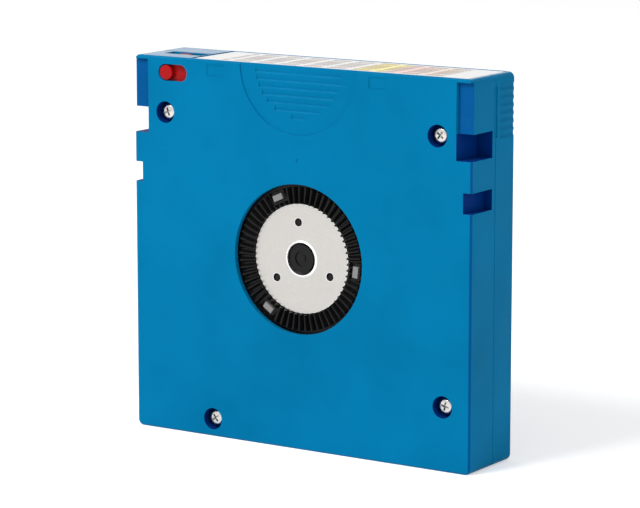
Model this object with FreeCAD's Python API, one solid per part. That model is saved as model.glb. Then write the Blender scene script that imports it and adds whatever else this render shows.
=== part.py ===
"""Half-inch single-reel data tape cartridge, in millimetres.

Frame: +Z is up and the cartridge stands on its leading edge, with the label
edge on top. The hub side, with the reel opening, faces -Y and the plain side
faces +Y. The origin is at the centre of the underside. Angles on the reel are
clock angles seen from the hub side: 0 is up and they grow towards +X.
"""
import FreeCAD
import Part
import math
import os

V = FreeCAD.Vector

# ---- case -----------------------------------------------------------------
CASE_W = 105.4            # along X
CASE_H = 102.0            # along Z, leading edge to label edge
CASE_T = 21.5             # along Y
SEAM_DEPTH = 11.8         # hub face to the joint between the shells
SIDE_WALL = 1.8
FACE_WALL = 1.5
RIB_WALL = 1.3            # inner ribs and the skins behind pockets
CORNER_R = 1.6            # corners of the outline
RIM_CHAMFER = 0.5         # between the broad faces and the sides
SEAM_CHAMFER = 0.25
REEL_OPENING_R = 20.0

HALF_W = CASE_W / 2
INNER_W = HALF_W - SIDE_WALL
TOP_INNER_Z = CASE_H - SIDE_WALL
REEL_Z = CASE_H / 2       # the reel's axis is midway up the case
HUB_Y = -CASE_T / 2
PLAIN_Y = CASE_T / 2
SEAM_Y = HUB_Y + SEAM_DEPTH
HUB_FLOOR_Y = HUB_Y + FACE_WALL
PLAIN_FLOOR_Y = PLAIN_Y - FACE_WALL

# ---- outside features of the case -----------------------------------------
NOTCH_DEPTH = 10.2        # along Y, from the hub face
UPPER_NOTCH = (14.1, 6.8, 4.6)      # label edge to the notch, size along Z, size along X
LOWER_NOTCH = (29.0, 5.3, 2.5)
STRIP_DROP = 1.0          # corner strips above the upper notches
STRIP_TOP = CASE_H - 1.0
SIDE_GROOVES = 7
SIDE_GROOVE_PITCH = 2.05
SIDE_GROOVE_TOP = 3.4     # first groove below the label edge
SIDE_GROOVE_R = 0.95
SIDE_GROOVE_DEPTH = 0.45
SIDE_GROOVE_START = 14.0  # hub face to the grooves' blind end
SEAM_BAND = (3.0, 13.0, 0.8, 0.3)   # label edge to the band, size along Z, half width, depth
GRIP_R = 18.2             # thumb grip at the label edge
GRIP_DROP = 0.3
GRIP_RIB_R = 13.45
GRIP_RIBS = 7
GRIP_RIB_PITCH = 1.95
GRIP_RIB_TOP = 1.6        # first groove below the label edge
GRIP_RIB_W = 1.5
GRIP_RIB_STEP = 0.3       # the groove's steep lower side, along Z
GRIP_RIB_DEPTH = 0.3
PAD_W = 5.4               # two shallow moulding pads under the label edge
PAD_H = 2.9
PAD_DROP = 0.15
PAD_TOP = 1.3
PAD_INSETS = (29.3, 25.4) # left side to the left pad's right end, right side to the right pad's
GATE_R = 0.5              # moulding gate mark
GATE_DROP = 24.8          # label edge to the mark
PANEL_SIDE = 14.7         # shallow field on the plain side: its borders
PANEL_TOP = 23.0
PANEL_BOTTOM = 18.0
PANEL_R = 4.0
PANEL_DROP = 0.3

# ---- label ----------------------------------------------------------------
LABEL_RECESS_INSETS = (17.9, 2.0)   # from the left and the right side
LABEL_RECESS_MARGIN = 0.8           # from each broad face
LABEL_RECESS_DROP = 0.25
LABEL_T = 0.15
LABEL_GAP = 0.35

# ---- screws ---------------------------------------------------------------
UPPER_SCREW_INSET = 10.2  # from the sides
UPPER_SCREW_DROP = 15.0   # from the label edge
RIGHT_SCREW_INSET = 8.2
RIGHT_SCREW_RISE = 17.0
LEFT_SCREW_INSET = 25.2
LEFT_SCREW_RISE = 4.8
COUNTERBORE_R = 2.9
HEAD_R = 2.2
HEAD_H = 2.0
HEAD_RECESS = 1.4         # hub face to the top of the head
SCREW_R = 1.2
SCREW_L = 14.5
SCREW_CLEARANCE = 0.15
PILOT_CLEARANCE = 0.03
TOWER_WALL = 0.8
BOSS_R = 2.7
SCREWS_XZ = ((-HALF_W + UPPER_SCREW_INSET, CASE_H - UPPER_SCREW_DROP),
             (HALF_W - UPPER_SCREW_INSET, CASE_H - UPPER_SCREW_DROP),
             (HALF_W - RIGHT_SCREW_INSET, RIGHT_SCREW_RISE),
             (-HALF_W + LEFT_SCREW_INSET, LEFT_SCREW_RISE))
SEAT_Y = HUB_Y + HEAD_RECESS + HEAD_H
TOWER_R = COUNTERBORE_R + TOWER_WALL

# ---- reel -----------------------------------------------------------------
FLANGE_GAP = 0.65         # hub shell floor to the flange
FLANGE_SIDE_GAP = 2.4     # flange to the nearest side wall, at the edges
FLANGE_EDGE_GAP = 0.7     # flange to the walls at the leading and label edges
FLANGE_T = 1.0
TAPE_W = 12.65
TAPE_SIDE_GAP = 0.2
TAPE_MARGIN = 2.0         # flange's edge to the tape's outermost turn
HUB_R = 22.0
HUB_WALL = 2.0
WEB_T = 2.0
HUB_FIT = 0.05            # tape pack on the hub
GEAR_TEETH = 60
GEAR_IN_R = 14.8
GEAR_OUT_R = 19.1
GEAR_TIP_DEPTH = 0.75     # hub face to the tooth tips
GEAR_TOOTH_H = 1.2
TOOTH_ROOT_HALF = 0.40    # half widths as shares of the pitch
TOOTH_TIP_HALF = 0.08
RING_R = 19.5             # black ring that carries the drive teeth
PLATE_R = 14.6
PLATE_T = 0.8
PLATE_DEPTH = 1.9         # hub face to the plate's face
PLATE_FIT = 0.05
PLATE_BORE_R = 4.35
PLATE_LIP_W = 0.5
PLATE_LIP_H = 0.25
STAKES = 3
STAKE_PCR = 9.7
STAKE_ANGLE = -6.0
STAKE_HOLE_R = 1.1
STAKE_R = 0.7
CENTRE_R = 3.7            # boss in the plate's bore, with a groove round it
CENTRE_PIT_R = 2.1
CENTRE_PIT_DROP = 0.35

FLANGE_R = min(INNER_W - FLANGE_SIDE_GAP, REEL_Z - SIDE_WALL - FLANGE_EDGE_GAP)
TAPE_R = FLANGE_R - TAPE_MARGIN
FLANGE_Y = HUB_FLOOR_Y + FLANGE_GAP
FLANGE_IN_Y = FLANGE_Y + FLANGE_T
TAPE_Y = FLANGE_IN_Y + TAPE_SIDE_GAP
TOP_FLANGE_Y = TAPE_Y + TAPE_W + TAPE_SIDE_GAP
HUB_IN_R = HUB_R - HUB_WALL
WEB_IN_Y = FLANGE_Y + WEB_T
GEAR_TIP_Y = HUB_Y + GEAR_TIP_DEPTH
GEAR_ROOT_Y = GEAR_TIP_Y + GEAR_TOOTH_H
PLATE_Y = HUB_Y + PLATE_DEPTH
PLATE_BACK_Y = PLATE_Y + PLATE_T

# ---- brake and release ----------------------------------------------------
BRAKE_LIFT = 2.0
LOCK_IN_R = 11.0
LOCK_OUT_R = 14.5
LOCK_TOOTH_H = 1.2
LOCK_ROOT_H = 1.7         # web to the roots of the reel's lock teeth
LOCK_RUN = 0.3            # tooth tip to the facing root, brake engaged
LOCK_TEETH = 36
LOCK_SECTOR_TEETH = 7
LOCK_SHELF = 0.3          # sector past both ends of its teeth
ARMS = 3
ARM_ANGLE = -24.0
ARM_W = 5.0
LEG_R = 17.3
LEG_W = 3.0
LEG_T = 1.6
LEG_END_DEPTH = 1.15      # hub face to the legs' ends
LEG_CLEARANCE = 0.15
POCKET_W = 4.8            # room around each leg in the drive teeth
POCKET_ROOM = 0.85        # along the radius, on each side of a leg
RELEASE_T = 1.3
RELEASE_R = 8.5
PIP_R = 2.0
PIP_H = 0.6
PIP_GAP = 0.05
BRAKE_R = 15.0
BRAKE_T = 1.5
SOCKET_R = 5.2
SOCKET_H = 6.5
CROSS_HALF = 3.3          # cross post that stops the brake from turning
CROSS_W = 1.8
CROSS_CLEARANCE = 0.15
CROSS_ENGAGED = 3.4       # post in its socket, brake engaged
CROSS_STOP = 0.6          # post end to the socket's floor, brake lifted
BRAKE_SPRING_R = 6.6
BRAKE_WIRE_R = 0.4
BRAKE_TURNS = 3
COIL_SIDES = 10           # straight lengths in one turn of a spring
SPRING_RING_R = 7.4
SPRING_RING_H = 1.5

LOCK_ROOT_Y = WEB_IN_Y + LOCK_ROOT_H
LOCK_TIP_Y = LOCK_ROOT_Y + LOCK_TOOTH_H
BRAKE_Y = LOCK_TIP_Y + LOCK_RUN
BRAKE_BACK_Y = BRAKE_Y + BRAKE_T
RELEASE_BACK_Y = WEB_IN_Y + RELEASE_T
SOCKET_TOP_Y = BRAKE_BACK_Y + SOCKET_H
CROSS_END_Y = SOCKET_TOP_Y - CROSS_ENGAGED
GEAR_PITCH = 360.0 / GEAR_TEETH
LOCK_PITCH = 360.0 / LOCK_TEETH
LOCK_ANGLE = ARM_ANGLE + 180.0 / ARMS

# ---- leader pin, its clamp and its spring ---------------------------------
PIN_INSET = 9.7           # side of the case to the pin's axis
PIN_Z = 10.0
PIN_R = 1.2
PIN_COLLAR_R = 1.7
PIN_COLLAR_T = 1.2
PIN_END_GAP = 0.3
LEADER_T = 0.12
LEADER_FIT = 0.02
PACK_GAP = 0.3
CLAMP_FIT = 0.05
CLAMP_T = 0.6
SEAT_FIT = 0.05
SEAT_WALL = 0.8
SEAT_H = 1.7
CLIP_T = 0.3
CLIP_W = 2.4
CLIP_BACK = 3.4           # pin axis to the spring's back
CLIP_ARM_W = 1.0
CLIP_POST = (1.4, 3.2, 1.7)         # size along X, size along Z, height
CLIP_HOOK = (2.1, 1.1)    # pin axis to the hook's tip, along X and Z
PIN_X = -HALF_W + PIN_INSET
PIN_END_Y = PLAIN_FLOOR_Y - PIN_END_GAP

# ---- door -----------------------------------------------------------------
DOOR_OPENING_Z = (2.8, 18.6)
DOOR_OPENING_HALF = 8.3
DOOR_T = 1.1
DOOR_GAP = 0.2            # to the side wall, the floors and the leading edge
DOOR_LAP = 0.6            # door past the opening's top
DOOR_TRAVEL = 17.0
RAIL_GAP = 0.25
RAIL_T = 0.7
RAIL_H = 1.4
RAIL_START_Z = 14.5
RAIL_PAST = 1.8           # rail past the open door's top
DOOR_SPRING_R = 0.75
DOOR_WIRE_R = 0.18
DOOR_TURNS = 7
DOOR_SPRING_SHUT = 9.8    # room for the spring with the door open
DOOR_STOP_T = 1.6
LUG_H = 2.0
LUG_HALF = 1.1
LUG_GAP = 0.3             # lug to the rail beside it

DOOR_X = -INNER_W + DOOR_GAP
DOOR_TOP_Z = DOOR_OPENING_Z[1] + DOOR_LAP
DOOR_STOP_Z = DOOR_TOP_Z + DOOR_TRAVEL + DOOR_SPRING_SHUT
DOOR_SPRING_Y = PLAIN_FLOOR_Y - RAIL_H - LUG_GAP - LUG_HALF
DOOR_SPRING_X = -INNER_W + DOOR_SPRING_R + DOOR_WIRE_R + 0.1
RAIL_Z = (RAIL_START_Z, DOOR_TOP_Z + DOOR_TRAVEL + RAIL_PAST)
LUG_X = DOOR_SPRING_X + DOOR_SPRING_R + DOOR_WIRE_R

# ---- write-protect slider -------------------------------------------------
WINDOW_INSET = 8.0        # side of the case to the window
WINDOW_L = 9.3
WINDOW_DROP = 4.3         # label edge to the window's middle
WINDOW_R = 2.25
SLIDER_TRAVEL = 5.0
SLIDER_GAP = 0.15
SLIDER_T = 1.2
SLIDER_EDGE_GAP = 0.2     # to the label edge's wall
SLIDER_H = 5.0
SLIDER_BEFORE = 2.0       # plate before and past the window
SLIDER_PAST = 0.5
POST_R = 2.05
POST_DEPTH = 0.3
TAB_W = 3.2
TAB_D = 4.2
TAB_SEAM_GAP = 1.0
TAB_SLOT_CLEARANCE = 0.2
TAB_SLOT_BEFORE = 2.7     # slot before and past the window's two ends
TAB_SLOT_PAST = 0.1
TAB_DEPTH = 0.3
TAB_ROOT_DROP = 4.8
KEEPER_DROP = 4.9         # label edge to the rib that backs the slider
KEEPER_GAP = 0.3
KEEPER_PAST = 2.4         # past the window, at both ends
GUIDE_H = 1.8
GUIDE_PAST = 1.5          # past the slider's two end positions
WINDOW_X = (-HALF_W + WINDOW_INSET, -HALF_W + WINDOW_INSET + WINDOW_L)
WINDOW_Z = CASE_H - WINDOW_DROP
SLIDER_X = (WINDOW_X[0] - SLIDER_BEFORE, WINDOW_X[1] + SLIDER_PAST)
SLIDER_Z = (TOP_INNER_Z - SLIDER_EDGE_GAP - SLIDER_H, TOP_INNER_Z - SLIDER_EDGE_GAP)
TAB_Y = (SEAM_Y - TAB_SEAM_GAP - TAB_D, SEAM_Y - TAB_SEAM_GAP)
TAB_SLOT_X = (WINDOW_X[0] - TAB_SLOT_BEFORE, WINDOW_X[1] + TAB_SLOT_PAST)
TAB_ROOT_Z = CASE_H - TAB_ROOT_DROP
POST_X = WINDOW_X[0] + WINDOW_R

# ---- memory board ---------------------------------------------------------
BOARD_INSET = 9.2         # side of the case to the board
BOARD_L = 17.0
BOARD_SLOPE = 6.4         # leg of the corner wedge that it lies on
BOARD_T = 0.6
BOARD_MARGIN = 0.15
WEDGE_T = 1.2
WEDGE_INSET = 1.2
CHIP = 3.4
CHIP_T = 0.7
BOARD_X = (HALF_W - BOARD_INSET - BOARD_L, HALF_W - BOARD_INSET)

# ---- corner ribs that centre the reel in storage --------------------------
CORNER_RIB_GAP = 0.8      # to the reel's flanges
CORNER_RIB_SPANS = ((27, 62), (118, 153), (314, 333))  # degrees from +X to +Z
RIB_TIP_GAP = 0.4         # rib ends short of the seam
CORNER_RIB_R = FLANGE_R + CORNER_RIB_GAP


# ---- helpers --------------------------------------------------------------
def box(x, y, z):
    """Block between two values on each axis."""
    return Part.makeBox(x[1] - x[0], y[1] - y[0], z[1] - z[0], V(x[0], y[0], z[0]))


def disc(r, y0, y1, x=0.0, z=REEL_Z):
    """Round bar along Y."""
    return Part.makeCylinder(r, y1 - y0, V(x, y0, z), V(0, 1, 0))


def ring(r_in, r_out, y0, y1, x=0.0, z=REEL_Z):
    return disc(r_out, y0, y1, x, z).cut(disc(r_in, y0, y1, x, z))


def turned(shape, angle):
    """Copy of a shape at 12 o'clock, turned to a clock angle."""
    copy = shape.copy()
    copy.rotate(V(0, 0, REEL_Z), V(0, 1, 0), angle)
    return copy


def prism_y(points, y0, y1):
    """Prism along Y over an (x, z) polygon."""
    corners = [V(x, y0, z) for x, z in points]
    return Part.Face(Part.makePolygon(corners + corners[:1])).extrude(V(0, y1 - y0, 0))


def prism_x(points, x0, x1):
    """Prism along X over a (y, z) polygon."""
    corners = [V(x0, y, z) for y, z in points]
    return Part.Face(Part.makePolygon(corners + corners[:1])).extrude(V(x1 - x0, 0, 0))


def rounded_block(x, y, z, r):
    """Block whose four edges along Y have the radius r."""
    block = box(x, y, z)
    edges = [e for e in block.Edges if abs(e.tangentAt(e.FirstParameter).y) > 0.99]
    return block.makeFillet(r, edges)


def stadium(x, z, r, y0, y1):
    """Long hole along X with round ends."""
    left = disc(r, y0, y1, x[0] + r, z)
    right = disc(r, y0, y1, x[1] - r, z)
    middle = box((x[0] + r, x[1] - r), (y0, y1), (z - r, z + r))
    return left.fuse([right, middle]).removeSplitter()


def mirrored(shape):
    return shape.mirror(V(0, 0, 0), V(1, 0, 0))


def flat_solid(faces):
    """Solid from flat faces given by their corners."""
    sides = [Part.Face(Part.makePolygon(corners + corners[:1])) for corners in faces]
    return Part.Solid(Part.Shell(sides))


def face_teeth(angles, pitch, r_in, r_out, root_y, tip_y):
    """Radial teeth on a flat ring, each one tapering towards the axis."""
    sunk_y = root_y + 0.2 * (root_y - tip_y)
    root = math.tan(math.radians(TOOTH_ROOT_HALF * pitch))
    tip = math.tan(math.radians(TOOTH_TIP_HALF * pitch))
    sunk = root + 0.2 * (root - tip)
    a, b, c, d = [V(share * r_in, y, REEL_Z + r_in)
                  for share, y in ((-sunk, sunk_y), (-tip, tip_y), (tip, tip_y), (sunk, sunk_y))]
    e, f, g, h = [V(share * r_out, y, REEL_Z + r_out)
                  for share, y in ((-sunk, sunk_y), (-tip, tip_y), (tip, tip_y), (sunk, sunk_y))]
    tooth = flat_solid([[a, b, c, d], [e, h, g, f], [a, d, h, e], [b, f, g, c],
                        [a, e, f], [a, f, b], [d, c, g], [d, g, h]])
    return [turned(tooth, angle) for angle in angles]


def coil(radius, wire_r, turns, length):
    """Compression spring along +Z from the origin: square wire in short straight lengths."""
    steps = turns * COIL_SIDES
    rise = (length - 2 * wire_r) / steps
    half = wire_r * math.sqrt(0.5)
    rows = []
    for i in range(steps + 1):
        c, s = math.cos(i * math.tau / COIL_SIDES), math.sin(i * math.tau / COIL_SIDES)
        rows.append([V((radius + x) * c, (radius + x) * s, wire_r + i * rise + z)
                     for x, z in ((-half, -half), (half, -half), (half, half), (-half, half))])
    faces = [rows[0], rows[-1][::-1]]
    for a, b in zip(rows, rows[1:]):
        for j, k in ((0, 1), (1, 2), (2, 3), (3, 0)):
            faces += [[a[j], b[j], b[k]], [a[j], b[k], a[k]]]
    return flat_solid(faces)


def spun(spring_shape, place, axis_y=False):
    """A coil moved to its seat, laid along Y where asked."""
    shape = spring_shape.copy()
    if axis_y:
        shape.rotate(V(0, 0, 0), V(1, 0, 0), -90)
    shape.translate(place)
    return shape


# ---- shells ---------------------------------------------------------------
def shell_blank(face_y):
    """Tray with its broad face at face_y and its rim at the seam."""
    y = (min(face_y, SEAM_Y), max(face_y, SEAM_Y))
    blank = rounded_block((-HALF_W, HALF_W), y, (0, CASE_H), CORNER_R)
    rim = [e for e in blank.Edges if abs(e.BoundBox.YMin - face_y) < 1e-6
           and abs(e.BoundBox.YMax - face_y) < 1e-6]
    blank = blank.makeChamfer(RIM_CHAMFER, rim)
    seam = [e for e in blank.Edges if abs(e.BoundBox.YMin - SEAM_Y) < 1e-6
            and abs(e.BoundBox.YMax - SEAM_Y) < 1e-6]
    blank = blank.makeChamfer(SEAM_CHAMFER, seam)
    floor_y = HUB_FLOOR_Y if face_y < SEAM_Y else PLAIN_FLOOR_Y
    cavity_y = (min(floor_y, SEAM_Y), max(floor_y, SEAM_Y))
    return blank.cut(box((-INNER_W, INNER_W), cavity_y, (SIDE_WALL, TOP_INNER_Z)))


def corner_ribs(floor_y, tip_y):
    """Arc ribs in the corners, just outside the reel's flanges."""
    wall = ring(CORNER_RIB_R, CORNER_RIB_R + RIB_WALL, min(floor_y, tip_y), max(floor_y, tip_y))
    reach = 2 * CORNER_RIB_R
    ribs = []
    for start, end in CORNER_RIB_SPANS:
        a, b = math.radians(start), math.radians(end)
        wedge = prism_y([(0, REEL_Z), (reach * math.cos(a), REEL_Z + reach * math.sin(a)),
                         (reach * math.cos(b), REEL_Z + reach * math.sin(b))],
                        min(floor_y, tip_y), max(floor_y, tip_y))
        ribs.append(wall.common(wedge))
    return ribs


def thumb_grip(face_y, inward):
    """Half-round grip at the label edge with straight grooves across it."""
    y = sorted((face_y, face_y + inward * GRIP_DROP))
    tools = [disc(GRIP_R, y[0], y[1], 0, CASE_H)]
    floor = face_y + inward * GRIP_DROP
    deep = floor + inward * GRIP_RIB_DEPTH
    for i in range(GRIP_RIBS):
        drop = GRIP_RIB_TOP + i * GRIP_RIB_PITCH
        half = math.sqrt(GRIP_RIB_R ** 2 - drop ** 2)
        high, low = CASE_H - drop + GRIP_RIB_W / 2, CASE_H - drop - GRIP_RIB_W / 2
        tools.append(prism_x([(face_y, high), (floor, high), (deep, low + GRIP_RIB_STEP),
                              (floor, low), (face_y, low)], -half, half))
    return tools


def notch_z(notch):
    return (CASE_H - notch[0] - notch[1], CASE_H - notch[0])


def notch_box(notch, grow=0.0):
    """Side notch on +X, or the wall round it when grown."""
    z = notch_z(notch)
    x = (HALF_W - notch[2] - grow, HALF_W + (0 if grow else 1))
    y = (HUB_Y - (0 if grow else 1), HUB_Y + NOTCH_DEPTH + grow)
    return box(x, y, (z[0] - grow, z[1] + grow))


def door_cuts():
    """Opening in the side wall for the drive's leader block."""
    return box((-HALF_W - 1, -INNER_W + 0.01), (-DOOR_OPENING_HALF, DOOR_OPENING_HALF), DOOR_OPENING_Z)


def label_x():
    return (-HALF_W + LABEL_RECESS_INSETS[0], HALF_W - LABEL_RECESS_INSETS[1])


def label_cut():
    margin = LABEL_RECESS_MARGIN
    return box(label_x(), (HUB_Y + margin, PLAIN_Y - margin),
               (CASE_H - LABEL_RECESS_DROP, CASE_H + 1))


def seam_band_cuts():
    """Shallow bands along the seam beside the side grooves."""
    drop, size, half, depth = SEAM_BAND
    band = box((HALF_W - depth, HALF_W + 1), (SEAM_Y - half, SEAM_Y + half),
               (CASE_H - drop - size, CASE_H - drop))
    return [band, mirrored(band)]


def door_rail(floor_y, inward):
    """Rail on a floor that keeps the door against the side wall."""
    x = DOOR_X + DOOR_T + RAIL_GAP
    end = floor_y + inward * RAIL_H
    return box((x, x + RAIL_T), (min(floor_y, end), max(floor_y, end)), RAIL_Z)


def pin_seat(floor_y, inward):
    """Half-round seat, open to the door, and the post that holds the pin's spring."""
    y = sorted((floor_y, floor_y + inward * SEAT_H))
    r_in = PIN_COLLAR_R + SEAT_FIT
    seat = ring(r_in, r_in + SEAT_WALL, y[0], y[1], PIN_X, PIN_Z)
    reach = r_in + SEAT_WALL + 1
    seat = seat.cut(box((PIN_X - reach, PIN_X), y, (PIN_Z - reach, PIN_Z + reach)))
    seat = seat.cut(box((PIN_X - reach, PIN_X + reach), y, (PIN_Z + PIN_R, PIN_Z + reach)))
    size_x, size_z, height = CLIP_POST
    back = PIN_X + CLIP_BACK
    y = sorted((floor_y, floor_y + inward * height))
    post = box((back - size_x / 2, back + size_x / 2), y, (PIN_Z - size_z / 2, PIN_Z + size_z / 2))
    slot = CLIP_T / 2 + SEAT_FIT
    post = post.cut(box((back - slot, back + slot), sorted((floor_y, floor_y + inward * CASE_T / 2)),
                        (PIN_Z - CLIP_W / 2 - SEAT_FIT, PIN_Z + size_z)))
    return [seat, post]


def hub_shell():
    """Shell with the reel opening, the notches, the window and the screw seats."""
    shell = shell_blank(HUB_Y)
    towers = [disc(TOWER_R, HUB_Y + 0.5, SEAM_Y, x, z) for x, z in SCREWS_XZ]
    notch_walls = []
    for notch in (UPPER_NOTCH, LOWER_NOTCH):
        wall = notch_box(notch, RIB_WALL)
        notch_walls += [wall, mirrored(wall)]
    strip_x = (HALF_W - UPPER_NOTCH[2], HALF_W + 1)
    strip_skin = box((strip_x[0] - RIB_WALL, HALF_W - SIDE_WALL / 2),
                     (HUB_FLOOR_Y - 0.1, HUB_FLOOR_Y + STRIP_DROP),
                     (notch_z(UPPER_NOTCH)[1], TOP_INNER_Z + SIDE_WALL / 2))
    guide = box((SLIDER_X[0] - GUIDE_PAST, SLIDER_X[1] + SLIDER_TRAVEL + GUIDE_PAST),
                (HUB_FLOOR_Y - 0.1, HUB_FLOOR_Y + GUIDE_H),
                (SLIDER_Z[0] - SLIDER_GAP - RIB_WALL, SLIDER_Z[0] - SLIDER_GAP))
    wedges = []
    for x in (BOARD_X[0] + WEDGE_INSET, BOARD_X[1] - WEDGE_INSET - WEDGE_T):
        wedges.append(prism_x([(HUB_FLOOR_Y - 0.1, SIDE_WALL - 0.1),
                               (HUB_FLOOR_Y - 0.1, SIDE_WALL + BOARD_SLOPE + 0.1),
                               (HUB_FLOOR_Y + BOARD_SLOPE + 0.1, SIDE_WALL - 0.1)], x, x + WEDGE_T))
    rails = [door_rail(HUB_FLOOR_Y, 1)]
    shell = shell.fuse(towers + notch_walls + [strip_skin, mirrored(strip_skin), guide]
                       + wedges + rails + pin_seat(HUB_FLOOR_Y, 1)
                       + corner_ribs(HUB_FLOOR_Y, SEAM_Y - RIB_TIP_GAP))

    cuts = [disc(REEL_OPENING_R, HUB_Y - 1, HUB_FLOOR_Y + 0.01)]
    for notch in (UPPER_NOTCH, LOWER_NOTCH):
        cuts += [notch_box(notch), mirrored(notch_box(notch))]
    strip = box(strip_x, (HUB_Y - 1, HUB_Y + STRIP_DROP), (notch_z(UPPER_NOTCH)[1] - 1, STRIP_TOP))
    cuts += [strip, mirrored(strip)]
    cuts += thumb_grip(HUB_Y, 1)
    for right in (-HALF_W + PAD_INSETS[0], HALF_W - PAD_INSETS[1]):
        cuts.append(box((right - PAD_W, right), (HUB_Y - 1, HUB_Y + PAD_DROP),
                        (CASE_H - PAD_TOP - PAD_H, CASE_H - PAD_TOP)))
    cuts.append(disc(GATE_R, HUB_Y - 1, HUB_Y + PAD_DROP, 0, CASE_H - GATE_DROP))
    for x, z in SCREWS_XZ:
        cuts.append(disc(COUNTERBORE_R, HUB_Y - 1, SEAT_Y, x, z))
        cuts.append(disc(SCREW_R + SCREW_CLEARANCE, HUB_Y, SEAM_Y + 1, x, z))
    cuts.append(stadium(WINDOW_X, WINDOW_Z, WINDOW_R, HUB_Y - 1, HUB_FLOOR_Y + 0.01))
    cuts.append(box(TAB_SLOT_X, (TAB_Y[0] - TAB_SLOT_CLEARANCE, TAB_Y[1] + TAB_SLOT_CLEARANCE),
                    (TOP_INNER_Z - 0.01, CASE_H + 1)))
    cuts += [door_cuts(), label_cut()] + seam_band_cuts()
    return shell.cut(cuts).removeSplitter()


def cross_post():
    """Cross-shaped post that the brake slides on without turning."""
    y = (CROSS_END_Y, PLAIN_FLOOR_Y + 0.1)
    half = CROSS_W / 2
    flat = box((-CROSS_HALF, CROSS_HALF), y, (REEL_Z - half, REEL_Z + half))
    upright = box((-half, half), y, (REEL_Z - CROSS_HALF, REEL_Z + CROSS_HALF))
    return flat.fuse(upright)


def side_grooves():
    """Finger grooves on both sides at the label end, open to the plain face."""
    tools = []
    for i in range(SIDE_GROOVES):
        z = CASE_H - SIDE_GROOVE_TOP - i * SIDE_GROOVE_PITCH
        x = HALF_W + SIDE_GROOVE_R - SIDE_GROOVE_DEPTH
        groove = disc(SIDE_GROOVE_R, HUB_Y + SIDE_GROOVE_START, PLAIN_Y + 1, x, z)
        tools += [groove, mirrored(groove)]
    return tools


def plain_shell():
    """Shell with the cross post, the screw pilots and the side grips."""
    shell = shell_blank(PLAIN_Y)
    bosses = [disc(BOSS_R, SEAM_Y, PLAIN_FLOOR_Y + 0.5, x, z) for x, z in SCREWS_XZ]
    spring_ring = ring(SPRING_RING_R, SPRING_RING_R + RIB_WALL,
                       PLAIN_FLOOR_Y - SPRING_RING_H, PLAIN_FLOOR_Y + 0.1)
    keeper_z = CASE_H - KEEPER_DROP
    keeper = box((WINDOW_X[0] - KEEPER_PAST, WINDOW_X[1] + KEEPER_PAST),
                 (TAB_Y[1] + KEEPER_GAP, PLAIN_FLOOR_Y + 0.1), (keeper_z - RIB_WALL, keeper_z))
    stop = box((-INNER_W - 0.1, LUG_X), (DOOR_SPRING_Y - LUG_HALF, PLAIN_FLOOR_Y + 0.1),
               (DOOR_STOP_Z, DOOR_STOP_Z + DOOR_STOP_T))
    rails = [door_rail(PLAIN_FLOOR_Y, -1)]
    shell = shell.fuse(bosses + [spring_ring, cross_post(), keeper, stop] + rails
                       + pin_seat(PLAIN_FLOOR_Y, -1)
                       + corner_ribs(PLAIN_FLOOR_Y, SEAM_Y + RIB_TIP_GAP))
    cuts = side_grooves() + thumb_grip(PLAIN_Y, -1) + seam_band_cuts()
    panel_half = HALF_W - PANEL_SIDE
    cuts.append(rounded_block((-panel_half, panel_half), (PLAIN_Y - PANEL_DROP, PLAIN_Y + 1),
                              (PANEL_BOTTOM, CASE_H - PANEL_TOP), PANEL_R))
    for x, z in SCREWS_XZ:
        cuts.append(disc(SCREW_R + PILOT_CLEARANCE, SEAM_Y - 1, SEAT_Y + SCREW_L + 0.3, x, z))
    cuts += [door_cuts(), label_cut()]
    return shell.cut(cuts).removeSplitter()


# ---- fasteners and label --------------------------------------------------
def case_screw(x, z):
    """Pan-head screw driven from the hub side."""
    head = disc(HEAD_R, SEAT_Y - HEAD_H, SEAT_Y, x, z)
    shank = disc(SCREW_R, SEAT_Y, SEAT_Y + SCREW_L, x, z)
    return head.fuse(shank).removeSplitter()


def label():
    gap = LABEL_GAP
    x = (label_x()[0] + 3 * gap, label_x()[1] - gap)
    y = (HUB_Y + LABEL_RECESS_MARGIN + gap, PLAIN_Y - LABEL_RECESS_MARGIN - gap)
    z = CASE_H - LABEL_RECESS_DROP
    return box(x, y, (z, z + LABEL_T))


# ---- reel -----------------------------------------------------------------
def leg_box(width, r, y, grow=0.0):
    """Upright block at 12 o'clock for a release leg or the room round it."""
    half = width / 2 + grow
    return box((-half, half), y, (REEL_Z + r[0] - grow, REEL_Z + r[1] + grow))


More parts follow.
